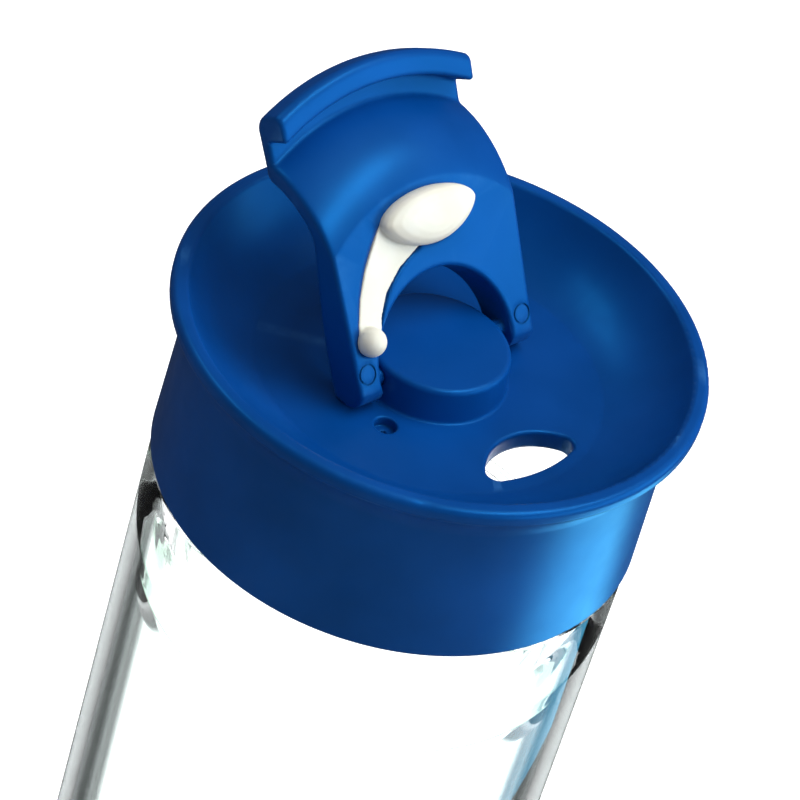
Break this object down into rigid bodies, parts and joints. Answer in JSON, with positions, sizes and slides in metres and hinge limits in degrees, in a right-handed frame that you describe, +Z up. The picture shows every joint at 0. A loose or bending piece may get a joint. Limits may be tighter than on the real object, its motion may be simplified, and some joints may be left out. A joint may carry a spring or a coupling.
{
  "type": "drinking bottle",
  "caption": "Rigid flip-top drinking bottle: glass liner in a clear shell, screw lid with a hinged lever that carries a silicone mouth and vent plug, screw-in base.",
  "frame": {"origin": "centre of the foot ring's underside, on the bottle's axis", "axes": "+Z up the bottle's axis; -Y towards the mouth hole; X along the flip lever's hinge"},
  "size_m": [0.076, 0.076, 0.2674],
  "materials": {
    "lid_plastic": "satin moulded polypropylene, deep blue",
    "lever_plastic": "satin moulded polypropylene, deep blue",
    "base_plastic": "satin moulded polypropylene, deep blue",
    "seal_silicone": "soft ivory white silicone",
    "gasket_silicone": "translucent white silicone",
    "ring_silicone": "clear silicone",
    "foot_rubber": "dark non-slip elastomer",
    "clear_shell": "clear polished rigid plastic",
    "liner_glass": "clear glass"
  },
  "bodies": {
    "bottle": {"outer_shell": "clear_shell", "glass_liner": "liner_glass", "shoulder_ring": "ring_silicone"},
    "lid_carrier": {"lid_gasket": "gasket_silicone"},
    "lid": {"lid_body": "lid_plastic"},
    "lever": {"flip_cap": "lever_plastic", "flip_seal": "seal_silicone"},
    "base_carrier": {"base_seal_ring": "gasket_silicone"},
    "base": {"base_cap": "base_plastic", "base_cushion": "gasket_silicone", "foot_ring": "foot_rubber"}
  },
  "joints": [
    {"name": "lid_lift", "type": "slide", "parent": "bottle", "child": "lid_carrier", "axis": [0, 0, 1], "range_m": [0, 0.006]},
    {"name": "lid_turn", "type": "hinge", "parent": "lid_carrier", "child": "lid", "pos_m": [0, 0, 0.22], "axis": [0, 0, 1], "range_deg": [0, 540]},
    {"name": "flip_hinge", "type": "hinge", "parent": "lid", "child": "lever", "pos_m": [0, 0, 0.2344], "axis": [1, 0, 0], "range_deg": [0, 124]},
    {"name": "base_drop", "type": "slide", "parent": "bottle", "child": "base_carrier", "axis": [0, 0, -1], "range_m": [0, 0.003]},
    {"name": "base_turn", "type": "hinge", "parent": "base_carrier", "child": "base", "pos_m": [0, 0, 0.01], "axis": [0, 0, -1], "range_deg": [0, 360]}
  ],
  "couplings": [
    {"joint": "lid_lift", "follows": "lid_turn", "m_per_rad": 0.00063662},
    {"joint": "base_drop", "follows": "base_turn", "m_per_rad": 0.00047746}
  ]
}
